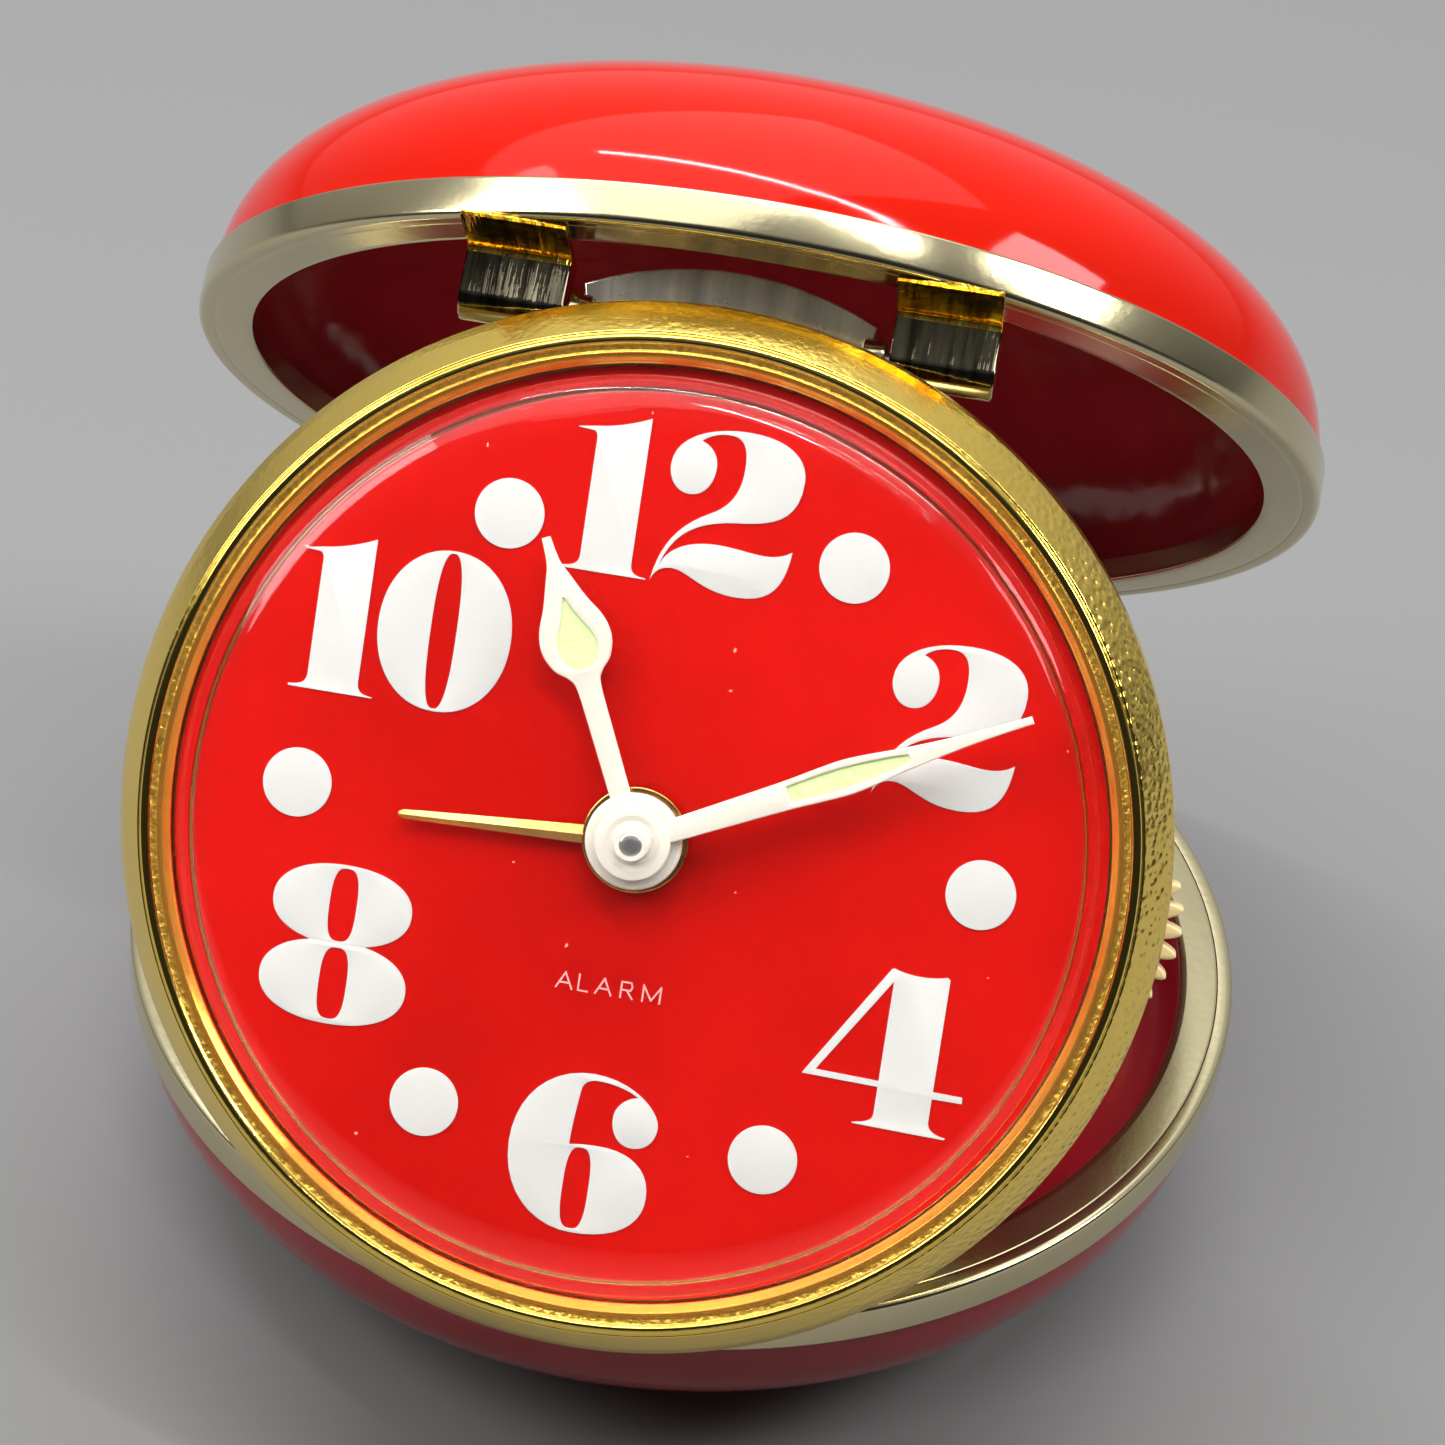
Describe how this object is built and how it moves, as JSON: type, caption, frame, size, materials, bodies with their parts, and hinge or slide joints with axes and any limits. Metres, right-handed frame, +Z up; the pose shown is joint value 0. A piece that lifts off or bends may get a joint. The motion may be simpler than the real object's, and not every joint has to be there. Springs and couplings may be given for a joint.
{
  "type": "travel alarm clock",
  "caption": "Folding travel alarm clock: two red domed halves with gold rims, hinged at the back, and a wind-up clock hinged inside the lid; it opens into a stand and folds into a disc.",
  "frame": {"origin": "centre of the base half's flat foot, on the table", "axes": "+Z up; the dial faces -Y and leans back; +X is to the right of a person reading the dial; the stand hinge is at +Y"},
  "size_m": [0.08, 0.0952, 0.0864],
  "materials": {
    "red_plastic": "high gloss, orange red",
    "base_plastic": "high gloss, deep red",
    "pale_gold": "polished pale gold plate",
    "gold": "polished and satin gold plate",
    "brass": "plain rolled brass",
    "steel": "brushed",
    "cover_steel": "satin pressed sheet",
    "clear": "clear, polished",
    "dial_red": "vivid red enamel, satin",
    "ivory": "ivory white, satin",
    "cream_plastic": "cream moulded plastic"
  },
  "bodies": {
    "base": {"base_bowl": "base_plastic", "base_rim": "pale_gold", "base_hinge_leaf": "pale_gold", "rear_hinge_pin": "steel"},
    "lid": {"lid_dome": "red_plastic", "lid_rim": "pale_gold", "lid_hinge_leaf": "pale_gold", "hinge_block_left": "gold", "hinge_block_right": "gold"},
    "clock": {"bezel": "gold", "crystal": "clear", "dial": "dial_red", "hour_dots": "ivory", "drum": "gold", "back_cover": "cover_steel", "cover_screws": "gold", "hinge_bracket": "steel", "clock_hinge_pins": "steel", "front_plate": "brass", "back_plate": "brass", "plate_pillars": "brass", "hairspring": "steel"},
    "minute": {"minute_hand": "ivory", "cannon_pinion": "steel"},
    "hour": {"hour_hand": "ivory", "hour_wheel": "brass"},
    "motion_wheel": {"minute_wheel": "brass"},
    "time_setting": {"time_set_knob": "cream_plastic", "time_set_arbor": "steel"},
    "alarm_dial": {"alarm_hand": "brass", "alarm_wheel": "brass"},
    "idler": {"alarm_idler": "brass"},
    "alarm_setting": {"alarm_set_knob": "cream_plastic", "alarm_set_arbor": "steel"},
    "winding": {"time_key": "brass", "barrel_arbor": "steel"},
    "going_barrel": {"barrel": "brass", "mainspring": "steel"},
    "centre": {"centre_wheel": "brass"},
    "third": {"third_wheel": "brass"},
    "fourth": {"fourth_wheel": "brass"},
    "escape": {"escape_wheel": "brass"},
    "lever": {"pallet_lever": "steel"},
    "balance": {"balance_wheel": "brass"},
    "rate_lever": {"regulator": "brass"},
    "alarm_winding": {"alarm_key": "brass"},
    "alarm_drum": {"alarm_barrel": "brass", "alarm_mainspring": "steel"},
    "alarm_star": {"alarm_star_wheel": "brass"},
    "hammer": {"alarm_hammer": "steel"},
    "stop": {"alarm_stop_button": "cream_plastic"}
  },
  "joints": [
    {"name": "lid_hinge", "type": "hinge", "parent": "base", "child": "lid", "pos_m": [0, 0.0422, 0.0187], "axis": [-1, 0, 0], "range_deg": [0, 47]},
    {"name": "clock_fold", "type": "hinge", "parent": "lid", "child": "clock", "pos_m": [0, -0.00619, 0.07306], "axis": [1, 0, 0], "range_deg": [0, 70.5]},
    {"name": "minute_turn", "type": "hinge", "parent": "clock", "child": "minute", "pos_m": [0, -0.03027, 0.05099], "axis": [0, 0.8526, -0.5225], "continuous": true},
    {"name": "hour_turn", "type": "hinge", "parent": "clock", "child": "hour", "pos_m": [0, -0.03027, 0.05099], "axis": [0, 0.8526, -0.5225], "continuous": true},
    {"name": "motion_wheel_turn", "type": "hinge", "parent": "clock", "child": "motion_wheel", "pos_m": [0.0139, -0.03117, 0.04953], "axis": [0, 0.8526, -0.5225], "continuous": true},
    {"name": "time_set_turn", "type": "hinge", "parent": "clock", "child": "time_setting", "pos_m": [0.0263, -0.03196, 0.04823], "axis": [0, 0.8526, -0.5225], "continuous": true},
    {"name": "alarm_turn", "type": "hinge", "parent": "clock", "child": "alarm_dial", "pos_m": [0, -0.03027, 0.05099], "axis": [0, 0.8526, -0.5225], "continuous": true},
    {"name": "idler_turn", "type": "hinge", "parent": "clock", "child": "idler", "pos_m": [0.01337, -0.02479, 0.05994], "axis": [0, 0.8526, -0.5225], "continuous": true},
    {"name": "alarm_set_turn", "type": "hinge", "parent": "clock", "child": "alarm_setting", "pos_m": [0.02208, -0.02361, 0.06186], "axis": [0, 0.8526, -0.5225], "continuous": true},
    {"name": "winding_turn", "type": "hinge", "parent": "clock", "child": "winding", "pos_m": [-0.01039, -0.03571, 0.04213], "axis": [0, 0.8526, -0.5225], "continuous": true},
    {"name": "fourth_turn", "type": "hinge", "parent": "clock", "child": "fourth", "pos_m": [0.00669, -0.02342, 0.06218], "axis": [0, 0.8526, -0.5225], "continuous": true},
    {"name": "third_turn", "type": "hinge", "parent": "clock", "child": "third", "pos_m": [-0.00177, -0.02503, 0.05955], "axis": [0, 0.8526, -0.5225], "continuous": true},
    {"name": "centre_turn", "type": "hinge", "parent": "clock", "child": "centre", "pos_m": [0, -0.03027, 0.05099], "axis": [0, 0.8526, -0.5225], "continuous": true},
    {"name": "barrel_turn", "type": "hinge", "parent": "clock", "child": "going_barrel", "pos_m": [-0.01039, -0.03571, 0.04213], "axis": [0, 0.8526, -0.5225], "continuous": true},
    {"name": "escape_turn", "type": "hinge", "parent": "clock", "child": "escape", "pos_m": [0.01009, -0.02649, 0.05716], "axis": [0, 0.8526, -0.5225], "continuous": true},
    {"name": "lever_rock", "type": "hinge", "parent": "clock", "child": "lever", "pos_m": [0.01459, -0.02785, 0.05494], "axis": [0, 0.8526, -0.5225], "range_deg": [-4, 4]},
    {"name": "balance_swing", "type": "hinge", "parent": "clock", "child": "balance", "pos_m": [0.01845, -0.03025, 0.05102], "axis": [0, 0.8526, -0.5225], "range_deg": [-150, 150], "stiffness_Nm_per_rad": 0.000002},
    {"name": "regulator_turn", "type": "hinge", "parent": "clock", "child": "rate_lever", "pos_m": [0.01845, -0.03025, 0.05102], "axis": [0, 0.8526, -0.5225], "range_deg": [-18, 18]},
    {"name": "alarm_winding_turn", "type": "hinge", "parent": "clock", "child": "alarm_winding", "pos_m": [-0.0198, -0.0275, 0.05551], "axis": [0, 0.8526, -0.5225], "continuous": true},
    {"name": "alarm_barrel_turn", "type": "hinge", "parent": "clock", "child": "alarm_drum", "pos_m": [-0.0198, -0.0275, 0.05551], "axis": [0, 0.8526, -0.5225], "continuous": true},
    {"name": "alarm_star_turn", "type": "hinge", "parent": "clock", "child": "alarm_star", "pos_m": [-0.01651, -0.02381, 0.06154], "axis": [0, 0.8526, -0.5225], "continuous": true},
    {"name": "hammer_rock", "type": "hinge", "parent": "clock", "child": "hammer", "pos_m": [-0.0105, -0.02077, 0.06649], "axis": [0, 0.8526, -0.5225], "range_deg": [-8, 8]},
    {"name": "stop_press", "type": "slide", "parent": "clock", "child": "stop", "axis": [0, -0.8526, 0.5225], "range_m": [0, 0.0012], "stiffness_N_per_m": 300, "springref_m": -0.0008}
  ],
  "couplings": [
    {"joint": "clock_fold", "follows": "lid_hinge", "ratio": 1.5},
    {"joint": "hour_turn", "follows": "minute_turn", "ratio": 0.083333},
    {"joint": "motion_wheel_turn", "follows": "minute_turn", "ratio": -0.33333},
    {"joint": "time_set_turn", "follows": "minute_turn", "ratio": 1.75},
    {"joint": "idler_turn", "follows": "alarm_turn", "ratio": -1.4286},
    {"joint": "alarm_set_turn", "follows": "alarm_turn", "ratio": 5},
    {"joint": "third_turn", "follows": "fourth_turn", "ratio": -0.125},
    {"joint": "centre_turn", "follows": "fourth_turn", "ratio": 0.016667},
    {"joint": "barrel_turn", "follows": "fourth_turn", "ratio": -0.0027778},
    {"joint": "escape_turn", "follows": "fourth_turn", "ratio": -7.5},
    {"joint": "alarm_star_turn", "follows": "alarm_barrel_turn", "ratio": -5.5}
  ]
}
